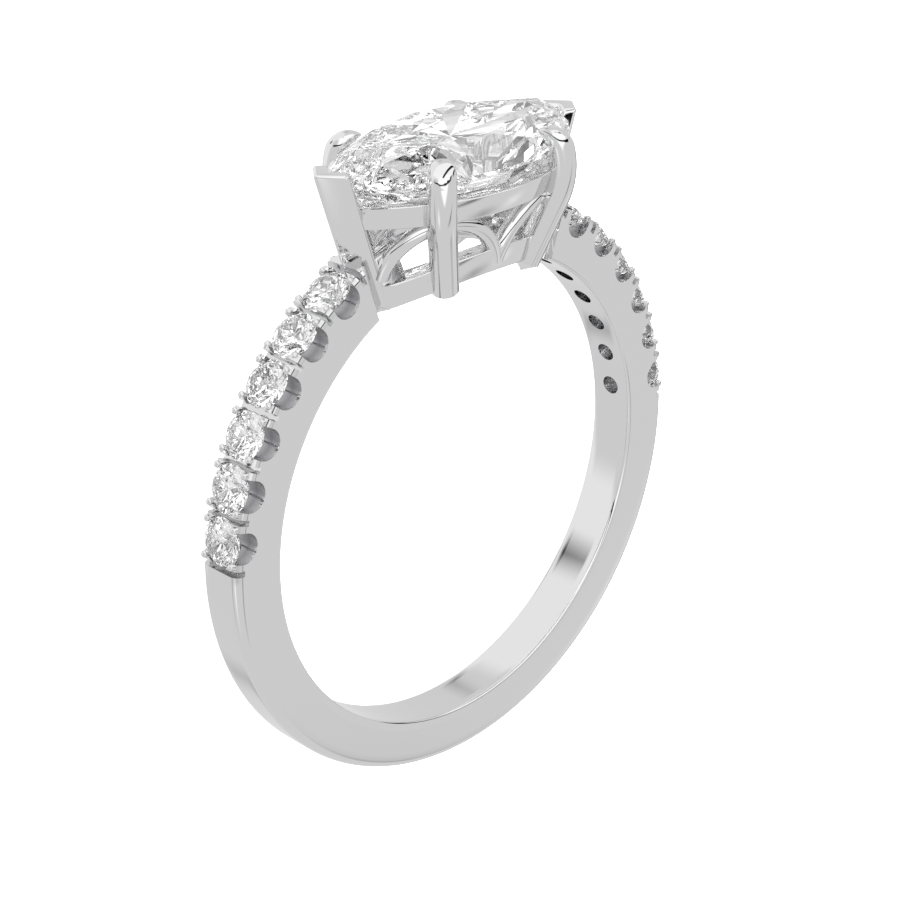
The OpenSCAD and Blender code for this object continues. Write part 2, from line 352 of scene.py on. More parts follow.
def outer_radius(turn):
    """How far the band's outside is from the hole's centre; the turn is measured from the head."""
    return OUTER_SHIFT * math.cos(turn) + math.sqrt(OUTER ** 2 - (OUTER_SHIFT * math.sin(turn)) ** 2)


rings = []
for k in range(AROUND):
    turn = 2 * math.pi * (k + OFF_AXIS) / AROUND
    section = band_section(BORE, outer_radius(turn))
    rings.append([(r * math.sin(turn), r * math.cos(turn), f) for r, f in section])
band = make_object("band", loft("band", rings, closed=True))
print("band blank:", faces_of(band), "faces")

# %% [markdown]
# ## The head's walls
# Seen from above, the basket is a marquise: two arcs that meet at points. Each long wall leans, so its
# arc grows from the finger hole to the stone. Two short functions give the arc's radius and how far its
# centre lies behind the head's axis at any height, and every wire of the basket is placed on them. The
# hollow between the walls is a tool that cuts the basket's inside out of the band.

# %% Wall functions
WALL = 0.65                          # thickness of the walls
WALL_U = 8.35                        # height at which the next two pairs are measured
WALL_R, WALL_GROWS = 6.10, 0.2286    # an arc's radius, and what it gains with each mm of height
BEHIND, BEHIND_GROWS = 3.97, 0.0107  # its centre's distance behind the axis, and what that gains
ARC_STEPS = 24
HOLLOW_HEIGHTS = (6.6, 7.6, 8.6, 9.6, 10.6, 11.4)
UPPER_RAIL = (10.40, 11.15)          # the upper rail's lower and upper edge


def wall_radius(u):
    return WALL_R + WALL_GROWS * (u - WALL_U)


def wall_centre(u):
    return BEHIND + BEHIND_GROWS * (u - WALL_U)


def wall_f(t, u, inset=0.0):
    """How far along the finger the wall's outer face lies, or a skin this far inside it."""
    return math.sqrt(max((wall_radius(u) - inset) ** 2 - t * t, 0)) - wall_centre(u)


def marquise_ring(u, inset):
    """A closed loop round the basket at one height."""
    r, c = wall_radius(u) - inset, wall_centre(u)
    half = math.acos(c / r)
    front = [half * (1 - 2 * k / ARC_STEPS) for k in range(ARC_STEPS)]
    loop = [(r * math.sin(a), u, r * math.cos(a) - c) for a in front]
    return loop + [(-x, y, -z) for x, y, z in loop]


hollow_mesh = loft("hollow", [marquise_ring(u, WALL) for u in HOLLOW_HEIGHTS])
print("the basket is", round(2 * wall_f(0, UPPER_RAIL[1]), 2), "mm wide at the rail's top")

# %% [markdown]
# ## Seats, scallops and grooves in the shoulders
# A setter drills a seat for each stone, cuts a U-shaped scallop under it from both side faces so that
# light gets in, and saws a groove across the band between neighbours. What stays standing at the corners
# carries the small prongs of a later step. The script works the same way: each tool is a closed body
# placed by its angle from the head, and one exact Boolean takes all of them out of the band.

# %% Seat, scallop and groove
CUT_TOP = 1.2                    # seats and scallops reach this far above the girdle
SEAT_R, SEAT_EDGE = 0.83, -0.05  # the seat's radius, and the height where its cone begins
LIGHT_R, LIGHT_TOP = 0.34, -0.5  # the light hole under the stone
LIGHT_END = -2.4
SEAT = [(0, CUT_TOP), (SEAT_R, CUT_TOP), (SEAT_R, SEAT_EDGE),
        (LIGHT_R, LIGHT_TOP), (LIGHT_R, LIGHT_END), (0, LIGHT_END)]
SCALLOP_R, SCALLOP_U = 0.525, -0.175   # the round end of the U: its radius and its middle's height
SCALLOP_F = (0.45, 1.3)          # from here to outside the band, along the finger
ARCH_STEPS = 20
GROOVE_U = 0.51                  # the height of a saw cut's middle above the girdles
GROOVE = (0.2, 1.5, 4)           # width along the band, depth, length along the finger
BOX_FACES = [  # the corners of west, east, lower, upper, back and front face
    (0, 1, 3, 2), (4, 6, 7, 5), (0, 4, 5, 1), (2, 3, 7, 6), (0, 2, 6, 4), (1, 5, 7, 3)]


def on_shoulder(side, at):
    """From a stone's own axes (U out of the band) to the ring's; side is -1 for the west."""
    turn = Matrix.Rotation(math.radians(-side * (FIRST + at * STEP)), 4, "Z")
    return turn @ Matrix.Translation((0, GIRDLE_AT, 0))


def scallop(side_f):
    """A U-shaped bar from one of the band's side faces inwards."""
    arch = [math.radians(180 + 180 * k / ARCH_STEPS) for k in range(ARCH_STEPS + 1)]
    outline = [(SCALLOP_R * math.cos(a), SCALLOP_U + SCALLOP_R * math.sin(a)) for a in arch]
    outline += [(SCALLOP_R, CUT_TOP), (-SCALLOP_R, CUT_TOP)]
    return loft("scallop", [[(x, y, f * side_f) for x, y in outline] for f in SCALLOP_F])


def groove():
    """A saw cut right across the band."""
    signs = (-1, 1)
    x, y, z = GROOVE
    corners = [(a * x / 2, b * y / 2 + GROOVE_U, c * z / 2) for a in signs for b in signs for c in signs]
    return tidy(make_mesh("groove", corners, BOX_FACES))


seat_mesh = lathe("seat", SEAT, sides=48)
print("a shoulder stone's seat is", 2 * SEAT_R, "mm wide, with a hole of", 2 * LIGHT_R, "mm under it")

# %% [markdown]
# The shoulders end beside the V-prongs that hold the marquise's points. There the band's corners are
# filed away with a round file, which leaves a hollow flank. The flank follows the leaning V-prong, so
# the tool is lofted from sections at several heights.

# %% Beside the V-prongs
V_LEAN = math.radians(19.05)     # how far the V-prongs lean outwards
V_ARM = math.radians(49.5)       # half the angle between a V-prong's arms
V_REACH, V_TOP = 5.79, 12.25     # how far its top's outer corner is from the head's axis, and how high
V_HALF, V_PLATE = 0.83, 0.5      # half its width along the finger, and the plate's thickness
FLANK_F, FLANK_RUN = 0.45, 1.05  # where along the finger the flank starts, and how far it runs
FLANK_BACK, FLANK_SLOPE = 0.485, 0.80   # its start behind the V-prong's tip, and its slope outwards
FLANK_BOW, BOW_RUN = 0.10, 0.4   # how hollow it is, and over what length
FLANK_STEPS = 8
FILED = 2.2                      # the tool's reach inwards from the V-prong's tip
ARM_COVER = 0.05                 # the V-prong's arm hides the tool's inner edge by this much
BESIDE_HEIGHTS = (7.0, 8.0, 9.0, 10.0, 11.0)


def v_tip(u):
    """How far from the head's axis a V-prong's outer corner stands at one height."""
    return V_REACH - (V_TOP - u) * math.tan(V_LEAN)


def beside_section(u):
    """The tool's section at one height: the hollow flank, then round behind the V-prong's arm."""
    tip = v_tip(u)
    section = []
    for k in range(FLANK_STEPS + 1):
        f = FLANK_F + FLANK_RUN * k / FLANK_STEPS
        bow = FLANK_BOW * math.sin(math.pi * min((f - FLANK_F) / BOW_RUN, 1))
        section.append((tip - FLANK_BACK + (f - FLANK_F) * FLANK_SLOPE + bow, u, f))
    corner = V_HALF - ARM_COVER
    section += [(tip - FILED, u, FLANK_F + FLANK_RUN), (tip - FILED, u, corner)]
    return section + [(tip - corner / math.tan(V_ARM) - 2 * ARM_COVER, u, corner)]


beside = make_object("beside", loft("beside", [beside_section(u) for u in BESIDE_HEIGHTS]))
print("tool beside a V-prong:", faces_of(beside), "faces")

# %% All the cuts at once
def placed_tool(mesh, side, at):
    tool = make_object("tool", mesh)
    tool.data.transform(on_shoulder(side, at))
    return tool


tools = []
for side in (-1, 1):
    for at in range(A_SIDE):
        tools += [placed_tool(mesh, side, at) for mesh in (seat_mesh.copy(), scallop(1), scallop(-1))]
    tools += [placed_tool(groove(), side, at - 0.5) for at in range(A_SIDE + 1)]
tools.append(make_object("hollow", hollow_mesh))
tools += [mirrored(beside, x, z) for x, z in CORNERS]
bpy.data.objects.remove(beside)
print("tools:", len(tools))
cut_with(band, tools)
print("band with its cuts:", faces_of(band), "faces")

# %% [markdown]
# ## Rails
# The upper rail is a flat ribbon that carries the stone. The lower rail follows the finger hole, so its
# underside and its sill are arcs about the hole's centre. Both are lofted strip by strip along the
# wall, with four corners at each station. A bevel then rounds the corners, and a Boolean keeps only what
# lies between the two V-prongs.

# %% Rails
LOWER_RAIL = (8.30, 9.15)        # radii of the lower rail's underside and sill
UPPER_REACH, LOWER_REACH = 4.52, 3.75
RAIL_STEPS = 72
RAIL_EDGE = 0.055                # rounding of the rails' edges
IN_PLATE = 0.07                  # the rails end this far inside the V-prongs' outer faces
BETWEEN_HALF = 4.0               # half the width of that room along the finger
BETWEEN_HEIGHTS = (6.5, 12)


def between_prongs(u):
    """The six-sided room between the two V-prongs at one height."""
    tip = v_tip(u) - IN_PLATE
    side_t = tip - BETWEEN_HALF / math.tan(V_ARM)
    return [(tip, u, 0), (side_t, u, BETWEEN_HALF), (-side_t, u, BETWEEN_HALF),
            (-tip, u, 0), (-side_t, u, -BETWEEN_HALF), (side_t, u, -BETWEEN_HALF)]


def rail(name, low, high, reach, side_f):
    """One rail; low and high give its lower and upper edge at any distance from the head's axis."""
    rings = []
    for k in range(RAIL_STEPS + 1):
        t = reach * (2 * k / RAIL_STEPS - 1)
        section = ((low(t), 0), (high(t), 0), (high(t), WALL), (low(t), WALL))
        rings.append([(t, u, side_f * wall_f(t, u, inset)) for u, inset in section])
    thing = make_object(name, loft(name, rings))
    bevel(thing, RAIL_EDGE, segments=3, degrees=40)
    room = make_object("between", loft("between", [between_prongs(u) for u in BETWEEN_HEIGHTS]))
    return cut_with(thing, [room], "INTERSECT")


def straight(u):
    return lambda t: u


def round_hole(r):
    return lambda t: math.sqrt(r * r - t * t)


metal_parts = [band]
for side_f in (1, -1):
    metal_parts.append(rail("upper_rail", *map(straight, UPPER_RAIL), UPPER_REACH, side_f))
    metal_parts.append(rail("lower_rail", *map(round_hole, LOWER_RAIL), LOWER_REACH, side_f))
print("rails:", [faces_of(p) for p in metal_parts[1:]])

# %% [markdown]
# ## Wires: the arches and the round prongs
# The four arches and the four prongs are round wire that follows a path. A curve with a bevel could make
# them, but its caps and its changing thickness are awkward, so Geometry Nodes sweep the wire: the tree
# takes a chain of points with a radius stored on each, turns the chain into a curve, carries a circle
# along it and closes the ends. One arch and one prong are made so, and mirrored to the head's corners.

# %% Helpers for node trees
def modifier_tree(name, **inputs):
    """A tree that takes geometry and named inputs, and gives geometry; the values are socket types."""
    tree = bpy.data.node_groups.new(name, "GeometryNodeTree")
    for label, kind in [("Geometry", "Geometry"), *inputs.items()]:
        tree.interface.new_socket(label, in_out="INPUT", socket_type="NodeSocket" + kind)
    tree.interface.new_socket("Geometry", in_out="OUTPUT", socket_type="NodeSocketGeometry")
    return tree


def wired(tree, rows):
    """Links the nodes of a tree; a row holds a node and its output, then a node and its input."""
    for start, output, end, slot in rows:
        tree.links.new(start.outputs[output], end.inputs[slot])


def painted(tree, entry, made, output):
    """Ends a tree: makes its instances real, and gives them the metal."""
    real = tree.nodes.new("GeometryNodeRealizeInstances")
    paint = tree.nodes.new("GeometryNodeSetMaterial")
    leave = tree.nodes.new("NodeGroupOutput")
    wired(tree, [(made, output, real, "Geometry"), (real, "Geometry", paint, "Geometry"),
                 (entry, "Metal", paint, "Material"), (paint, "Geometry", leave, "Geometry")])


def run_tree(thing, tree, **values):
    """Runs the tree on the object as a modifier, and keeps the result as a plain mesh."""
    run = thing.modifiers.new(tree.name, "NODES")
    run.node_group = tree
    for item in tree.interface.items_tree:
        if item.in_out == "INPUT" and item.name in values:
            run[item.identifier] = values[item.name]
    return shaped(thing)


# %% The sweeping tree
sweep = modifier_tree("sweep", Sides="Int", Metal="Material")
entry = sweep.nodes.new("NodeGroupInput")
as_curve = sweep.nodes.new("GeometryNodeMeshToCurve")
circle = sweep.nodes.new("GeometryNodeCurvePrimitiveCircle")
circle.inputs["Radius"].default_value = 1
thickness = sweep.nodes.new("GeometryNodeInputNamedAttribute")
thickness.data_type = "FLOAT"
thickness.inputs["Name"].default_value = "thickness"
carry = sweep.nodes.new("GeometryNodeCurveToMesh")
carry.inputs["Fill Caps"].default_value = True
wired(sweep, [(entry, "Geometry", as_curve, "Mesh"), (entry, "Sides", circle, "Resolution"),
              (as_curve, "Curve", carry, "Curve"), (circle, "Curve", carry, "Profile Curve"),
              (thickness, "Attribute", carry, "Scale")])
painted(sweep, entry, carry, "Mesh")


def wire(name, path, radii, sides):
    """Round wire along a path, with its own radius at each point."""
    mesh = bpy.data.meshes.new(name)
    mesh.from_pydata([tuple(p) for p in path], [(k, k + 1) for k in range(len(path) - 1)], [])
    mesh.attributes.new("thickness", "FLOAT", "POINT").data.foreach_set("value", radii)
    thing = run_tree(make_object(name, mesh), sweep, Sides=sides, Metal=metal)
    tidy(thing.data)
    return thing


print("sweeping tree:", len(sweep.nodes), "nodes")

# %% [markdown]
# An arch is a circle drawn on the leaning wall. Its plane is turned 18 degrees about the head's axis,
# so that it faces the same way as the wall does there; each point of the circle is then pushed along
# the finger until the wire stands just out of the wall's outer face.

# %% Arches
ARCH_TURN = math.radians(18)
ARCH_AT, ARCH_U = 1.37, 8.363    # the circle's centre: across its plane from the axis, and its height
ARCH_R = 1.95                    # radius of the wire's middle
ARCH_WIRE = 0.265                # radius of the wire
ARCH_PROUD = 0.03                # how far the wire stands out of the wall
ARCH_START, ARCH_SWEEP = 8, 164  # degrees
ARCH_PATH = 48
WEST_END, EAST_END = -5.0, 3.0   # the search for a point of the wall runs between these
HALVINGS = 50


def on_wall(s, u, inset):
    """The wall's point at one height that lies s across the arch's plane, found by halving."""
    low, high = WEST_END, EAST_END
    for _ in range(HALVINGS):
        t = (low + high) / 2
        if t * math.cos(ARCH_TURN) + wall_f(t, u, inset) * math.sin(ARCH_TURN) < s:
            low = t
        else:
            high = t
    return t, u, wall_f(t, u, inset)


path = []
for k in range(ARCH_PATH + 1):
    a = math.radians(ARCH_START + ARCH_SWEEP * k / ARCH_PATH)
    across, height = ARCH_R * math.cos(a) - ARCH_AT, ARCH_U + ARCH_R * math.sin(a)
    path.append(on_wall(across, height, ARCH_WIRE - ARCH_PROUD))
arch = wire("arch", path, [ARCH_WIRE] * len(path), sides=28)
arches = [mirrored(arch, x, z) for x, z in CORNERS]
bpy.data.objects.remove(arch)
metal_parts += arches
print("arch wires:", [faces_of(p) for p in arches])

# %% [markdown]
# A round prong is wire too. It leaves the finger hole leaning outwards, bows upright beside the girdle
# and is pushed over the stone, where the setter files its end into a claw. The path lies in an upright
# plane 41 degrees off the long axis; the wire narrows to a rounded foot below and to the claw's point
# above.

# %% The round prongs' path
PRONG_TURN = math.radians(41.2)
WIRE = 0.465                                   # radius of the wire
BOW_IN, BOW_U, BOW_R = 0.98, 11.15, 2.60       # centre of the bow, out from the axis and up; its radius
BOW_FROM, BOW_TO = math.radians(-22.8), math.radians(17)
LEG, LEG_STEPS = 2.40, 8                       # the straight leg below the bow
FOOT_UP, FOOT_TIP = 0.1, 0.02                  # how far the foot is raised, and its end's radius
FOOT_DOME = 0.8                                # height of the foot's dome, in radii of the wire
BOW_STEPS = 16
CLAW = [  # out from the head's axis, height, radius of the wire
    (3.42, 12.04, 0.458), (3.36, 12.13, 0.435), (3.27, 12.21, 0.395),
    (3.17, 12.27, 0.345), (3.07, 12.31, 0.285), (2.98, 12.335, 0.225),
    (2.90, 12.35, 0.165), (2.84, 12.36, 0.11), (2.80, 12.365, 0.05)]


def prong_point(out, u):
    return out * math.cos(PRONG_TURN), u, out * math.sin(PRONG_TURN)


def on_bow(a):
    return BOW_IN + BOW_R * math.cos(a), BOW_U + BOW_R * math.sin(a)


knee = on_bow(BOW_FROM)
foot = (knee[0] + LEG * math.sin(BOW_FROM), knee[1] - LEG * math.cos(BOW_FROM))
stations = []
for k in range(LEG_STEPS + 1):
    a = math.radians(90 * k / LEG_STEPS)
    below = WIRE * (1 - math.sin(a)) * FOOT_DOME
    out, up = foot[0] + below * math.sin(BOW_FROM), foot[1] - below * math.cos(BOW_FROM) + FOOT_UP
    stations.append((out, up, max(WIRE * math.sin(a), FOOT_TIP)))
for out, up in between((foot[0], foot[1] + FOOT_UP), knee, LEG_STEPS):
    stations.append((out, up, WIRE))
for k in range(BOW_STEPS + 1):
    stations.append((*on_bow(BOW_FROM + (BOW_TO - BOW_FROM) * k / BOW_STEPS), WIRE))
stations += CLAW
path = [prong_point(out, up) for out, up, _ in stations]
prong = wire("prong", path, [radius for _, _, radius in stations], sides=48)
print("prong wire:", len(stations), "stations,", faces_of(prong), "faces")

# %% [markdown]
# Last, the claw's top is polished with a small cup wheel, which leaves a drop-shaped facet. A ball on a
# post stands for the wheel's hollow: what the wire and the ball have in common keeps the wire's sides
# and gets that facet's crisp edge.

# %% The claw's facet
WHEEL_R, WHEEL_OUT, WHEEL_U = 0.78, 3.2, 11.69   # the ball's radius, and where its centre lies
POST_R, POST_HEIGHTS = 1.6, (7, 11.75)
BALL_STEPS = 48

arc = [math.pi * k / BALL_STEPS for k in range(BALL_STEPS + 1)]
ball_profile = [(WHEEL_R * math.sin(a), WHEEL_R * math.cos(a)) for a in arc]
ball = make_object("ball", lathe("ball", ball_profile, sides=2 * BALL_STEPS))
ball.data.transform(Matrix.Translation(prong_point(WHEEL_OUT, WHEEL_U)))
bottom, top = POST_HEIGHTS
post_profile = [(0, bottom), (POST_R, bottom), (POST_R, top), (0, top)]
post = make_object("post", lathe("post", post_profile, sides=24))
post.data.transform(Matrix.Translation(prong_point(WHEEL_OUT, 0)))
cut_with(ball, [post], "UNION")
cut_with(prong, [ball], "INTERSECT")
print("prong with its claw:", faces_of(prong), "faces")

# %% [markdown]
# ## The stone's own room
# The stone sits in notches cut into the prongs. The notch has the stone's shape, a few hundredths of a
# millimetre larger. The same faceted body is computed here from the stone's length, width and heights:
# the outline is two arcs, and inset copies of it give the crown and the pavilion.

# %% Marquise room
STONE_L, STONE_W, STONE_U = 10.9, 5.36, 11.78   # length, width, and the girdle's height
GROW = 0.025                                    # the room's gap round the stone
OUTLINE_POINTS = 16
ROOM = [  # inset of the outline, height from the girdle
    (2.0, -2.05), (1.08, -1.17), (0, -0.06), (0, 0.07), (0.53, 0.58), (1.07, 0.9)]


def stone_outline(inset, u):
    """The marquise's outline at one height, drawn this far inside the girdle's."""
    length, width = STONE_L + 2 * GROW, STONE_W + 2 * GROW
    r = (length ** 2 + width ** 2) / (4 * width)
    c = r - width / 2
    half = math.acos(c / (r - inset))
    a_side = OUTLINE_POINTS // 2
    loop = []
    for k in range(OUTLINE_POINTS):
        a = half * (1 - 2 * (k % a_side) / a_side)
        sign = 1 if k < a_side else -1
        loop.append((sign * (r - inset) * math.sin(a), u, sign * ((r - inset) * math.cos(a) - c)))
    return loop


def stone_room():
    rings = [stone_outline(inset, STONE_U + height) for inset, height in ROOM]
    return make_object("room", loft("room", rings))


print("the stone's room is", round(STONE_L + 2 * GROW, 2), "by", round(STONE_W + 2 * GROW, 2), "mm")

# %% [markdown]
# ## V-prongs
# Each point of the marquise is held by a bent plate, a chevron that leans outwards from the band and
# wraps the point. It is cut flat on top, and its edges are broken by polishing. A bent sheet with a
# Solidify modifier would do too, but two lofted chevrons keep the plate's lean and its arms' angle exact.

# %% V-prongs
V_FOOT = 7.55                     # height of the plate's lower end
V_EDGE = 0.13                     # rounding of its edges
HOLE_CLEAR, HOLE_HALF = 0.02, 3   # the finger hole is cut out of the plate, a hair wider


def v_outline(u):
    """The chevron at one height; the plate leans with the height."""
    tip = v_tip(u)
    arm = V_HALF / math.tan(V_ARM)
    across, along = V_PLATE * math.sin(V_ARM), V_PLATE * math.cos(V_ARM)
    outer, inner = (tip - arm, V_HALF), (tip - arm - across, V_HALF - along)
    notch = tip - V_PLATE / math.sin(V_ARM)
    return [(tip, u, 0), (outer[0], u, outer[1]), (inner[0], u, inner[1]), (notch, u, 0),
            (inner[0], u, -inner[1]), (outer[0], u, -outer[1])]


plate = make_object("v_prong", loft("v_prong", [v_outline(V_FOOT), v_outline(V_TOP)]))
bevel(plate, V_EDGE, segments=6, degrees=20)
hole_r = BORE + HOLE_CLEAR
hole_profile = [(0, -HOLE_HALF), (hole_r, -HOLE_HALF), (hole_r, HOLE_HALF), (0, HOLE_HALF)]
hole = make_object("hole", lathe("hole", hole_profile, sides=200))
hole.data.transform(Matrix.Rotation(math.radians(90), 4, "X"))
cut_with(plate, [hole])
cut_with(plate, [stone_room()])
cut_with(prong, [stone_room()])
metal_parts += [mirrored(prong, x, z) for x, z in CORNERS]
metal_parts += [mirrored(plate, x, 1) for x in (1, -1)]
bpy.data.objects.remove(prong)
bpy.data.objects.remove(plate)
print("metal parts so far:", len(metal_parts))

# %% [markdown]
# ## The corner prongs of the shoulder stones
# Four small prongs stand round each shoulder stone. They are all alike, so one is made and Geometry
# Nodes put a copy on every point of a small mesh; a direction stored on each point turns the copy so
# that it stands out of the band and leans over its stone.

# %% One corner prong
BEAD_R, BEAD_TOP, BEAD_DOME = 0.12, 0.15, 0.08   # radius, height of its side, height of its dome
BEAD_ROOT = -0.55                                # its lower end, measured from the girdle's height
BEAD_BENDS = (15, 30, 45, 60, 75)                # degrees up the dome

profile = [(0, BEAD_ROOT), (BEAD_R, BEAD_ROOT), (BEAD_R, BEAD_TOP)]
for a in map(math.radians, BEAD_BENDS):
    profile.append((BEAD_R * math.cos(a), BEAD_TOP + BEAD_DOME * math.sin(a)))
profile.append((0, BEAD_TOP + BEAD_DOME))
bead = make_object("bead", lathe("bead", profile, sides=20))
print("one corner prong:", faces_of(bead), "faces")

# %% The scattering tree
scatter = modifier_tree("scatter", Prong="Object", Metal="Material")
entry = scatter.nodes.new("NodeGroupInput")
shape = scatter.nodes.new("GeometryNodeObjectInfo")
outward = scatter.nodes.new("GeometryNodeInputNamedAttribute")
outward.data_type = "FLOAT_VECTOR"
outward.inputs["Name"].default_value = "outward"
turned = scatter.nodes.new("FunctionNodeAlignRotationToVector")
turned.axis = "Y"
turned.inputs["Factor"].default_value = 1
spread = scatter.nodes.new("GeometryNodeInstanceOnPoints")
wired(scatter, [(entry, "Geometry", spread, "Points"), (entry, "Prong", shape, "Object"),
                (shape, "Geometry", spread, "Instance"), (outward, "Attribute", turned, "Vector"),
                (turned, "Rotation", spread, "Rotation")])
painted(scatter, entry, spread, "Instances")
print("scattering tree:", len(scatter.nodes), "nodes")

# %% Corner prongs in their places
BEAD_T, BEAD_F = 0.62, 0.64   # from a stone's middle along the band, and along the finger
LEAN_T, LEAN_F = 0.22, 0.12   # how far a prong leans over the stone for each mm of those

places, directions = [], []
for side in (-1, 1):
    spots = [(at, t) for at in range(A_SIDE) for t in (-BEAD_T, BEAD_T)] + [(-1, side * BEAD_T)]
    for at, t in spots:
        on = on_shoulder(side, at)
        for f in (-BEAD_F, BEAD_F):
            places.append(on @ Vector((t, 0, f)))
            directions.append((on.to_3x3() @ Vector((-t * LEAN_T, 1, -f * LEAN_F))).normalized())
mesh = bpy.data.meshes.new("corner_prongs")
mesh.from_pydata([tuple(p) for p in places], [], [])
stored = mesh.attributes.new("outward", "FLOAT_VECTOR", "POINT")
stored.data.foreach_set("vector", [x for direction in directions for x in direction])
beads = run_tree(make_object("corner_prongs", mesh), scatter, Prong=bead, Metal=metal)
bpy.data.objects.remove(bead)
metal_parts.append(beads)
print("corner prongs:", len(places), "with", faces_of(beads), "faces")

# %% [markdown]
# ## One casting
# All the metal is one casting, so the parts become one object. A Boolean could fuse them, but their
# joins don't show, and separate closed skins keep every rounding clean: where two parts meet, one simply
# runs into the other. Faces that meet gently are shaded smooth, and steep edges stay sharp. Last, every
# point stores how deep it lies in the shoulders' cuts. The metal's material reads that number, called
# recess, and paints shade there with a darker tone; it also makes the metal rougher there.

# %% Join the metal
STEEP, PRONG_STEEP = 32, 14   # degrees between two faces, past which their edge stays sharp


def soften(mesh, degrees):
    """Smooth shading, with hard edges only where two faces meet more steeply than this."""
    bm = bmesh.new()
    bm.from_mesh(mesh)
    limit = math.radians(degrees)
    for face in bm.faces:
        face.smooth = True
    for edge in bm.edges:
        edge.smooth = len(edge.link_faces) != 2 or edge.calc_face_angle(0) < limit
    bm.to_mesh(mesh)
    bm.free()


joined = bmesh.new()
for part in metal_parts:
    tidy(part.data)
    soften(part.data, PRONG_STEEP if part.name.startswith("prong") else STEEP)
    joined.from_mesh(part.data)
    bpy.data.objects.remove(part)
cast_mesh = bpy.data.meshes.new("cast_setting")
joined.to_mesh(cast_mesh)
joined.free()
print("joined metal:", len(cast_mesh.polygons), "faces")

# %% Shade for the cuts
CUTS_FROM, CUTS_TO = math.radians(28.5), math.radians(88)   # the cut stretch, measured from the head
CUT_FADE = 0.15                                             # mm under the surface to the full shade


def cut_depth(point):
    """How deep a point lies in the shoulders' cuts: 0 on the surface, 1 well inside."""
    east, up, finger = point
    turn, out = math.atan2(east, up), math.hypot(east, up)
    if not CUTS_FROM < abs(turn) < CUTS_TO or out < BORE + EDGE:
        return 0
    depth = min(outer_radius(turn) - out, HALF_BAND - abs(finger))
    return min(max(depth / CUT_FADE, 0), 1)


depths = [cut_depth(v.co) for v in cast_mesh.vertices]
# the cut depth, stored for the metal's painted shade and its extra roughness in the cuts
cast_mesh.attributes.new("recess", "FLOAT", "POINT").data.foreach_set("value", depths)
print("points in the cuts:", sum(depth > 0 for depth in depths))

# %% The casting's place in the frame
cast_mesh.transform(LAY)
cast_mesh.materials.clear()
cast_mesh.materials.append(metal)
for face in cast_mesh.polygons:
    face.material_index = 0
cast = make_object("cast_setting", cast_mesh)
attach(cast, "root")
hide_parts("setting")
print("casting:", sum(len(face.vertices) - 2 for face in cast_mesh.polygons), "triangles")

# %% [markdown]
# ## Stones
# A cutter grinds flat facets, and the frame's stones have them already, so a new mesh would add nothing.
# They keep their solids and get the clear material.

# %% Stones
stones = [node for name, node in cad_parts.items() if name != "setting"]
for stone in stones:
    stone.data.materials.clear()
    stone.data.materials.append(diamond)
print("stones:", len(stones))

# %% [markdown]
# ## Camera
# The photograph looks at the ring from the west and the front, and from a little on the head's side.
# Because the ring lies down here, the camera turns with it and ends up a little over forty degrees above
# the floor. A long lens keeps the hoop's perspective gentle.

# %% Camera
TURN, RISE = math.radians(45), math.radians(25)   # from the finger's axis to the west, and to the head
AIM_UP, AWAY = 1.2, 75                            # mm
SENSOR, LENS = 36, 88.71                          # mm
NEAREST = 0.005                                   # metres; the lens sees nothing closer

back = Vector((-math.sin(TURN) * math.cos(RISE), math.sin(RISE), math.cos(TURN) * math.cos(RISE)))
right = Vector((math.cos(TURN), 0, math.sin(TURN)))
up = back.cross(right)
pose = Matrix((right, up, back)).transposed().to_4x4()
pose.translation = (AIM_UP * up + AWAY * back) * MM
camera = bpy.data.cameras.new("camera")
camera.sensor_width = SENSOR
camera.lens = LENS
camera.clip_start = NEAREST
camera_object = make_object("camera", camera)
camera_object.matrix_world = REST @ pose
scene.camera = camera_object
print("camera at", [round(x, 4) for x in camera_object.matrix_world.translation])

# %% [markdown]
# ## Floor, surround and lamp
# The photograph's ground is pure white. The floor is plain and pale and glows a little, so that it comes
# out as white as that. Neither the metal nor the stones see it: they show the surround instead, as if
# the ring stood free. The surround is a soft white, and one large lamp hangs overhead. Light bounces
# many times inside a cut stone before it leaves, so the paths may be long.

# %% Light paths
BOUNCES = 32
scene.cycles.max_bounces = BOUNCES
scene.cycles.glossy_bounces = BOUNCES
scene.cycles.transmission_bounces = BOUNCES
scene.cycles.transparent_max_bounces = BOUNCES // 2
print("light bounces:", BOUNCES)

# %% Floor
FLOOR_HALF = 0.7
PALE = (0.93, 0.93, 0.93, 1)

lowest = min(v.co.z for v in cast_mesh.vertices)
corners = [(x * FLOOR_HALF, y * FLOOR_HALF, lowest) for x, y in ((-1, -1), (1, -1), (1, 1), (-1, 1))]
floor = make_object("floor", make_mesh("floor", corners, [(0, 1, 2, 3)]))
floor.data.materials.append(new_material("pale_floor", Base_Color=PALE, Roughness=0.8, Specular_IOR_Level=0.1,
                                         Emission_Color=WHITE, Emission_Strength=0.75))
floor.visible_glossy = False
floor.visible_diffuse = False
floor.visible_transmission = False

# %% Surround and overhead lamp
SURROUND = 0.80
LAMP_TOWARDS, LAMP_AWAY, LAMP_SIZE, LAMP_LEVEL = (0.1, 0.1, 1), 0.8, 1.2, 3.0


def aimed(direction, distance):
    """A pose at some distance from the ring that looks back at it; the direction is in the ring's axes."""
    spot = REST.to_3x3() @ Vector(direction).normalized()
    pose = spot.to_track_quat("Z", "Y").to_matrix().to_4x4()
    pose.translation = spot * distance
    return pose


world = bpy.data.worlds.new("world")
scene.world = world
world.use_nodes = True
background = world.node_tree.nodes["Background"]
background.inputs["Color"].default_value = WHITE
background.inputs["Strength"].default_value = SURROUND
scene.view_settings.view_transform = "Standard"

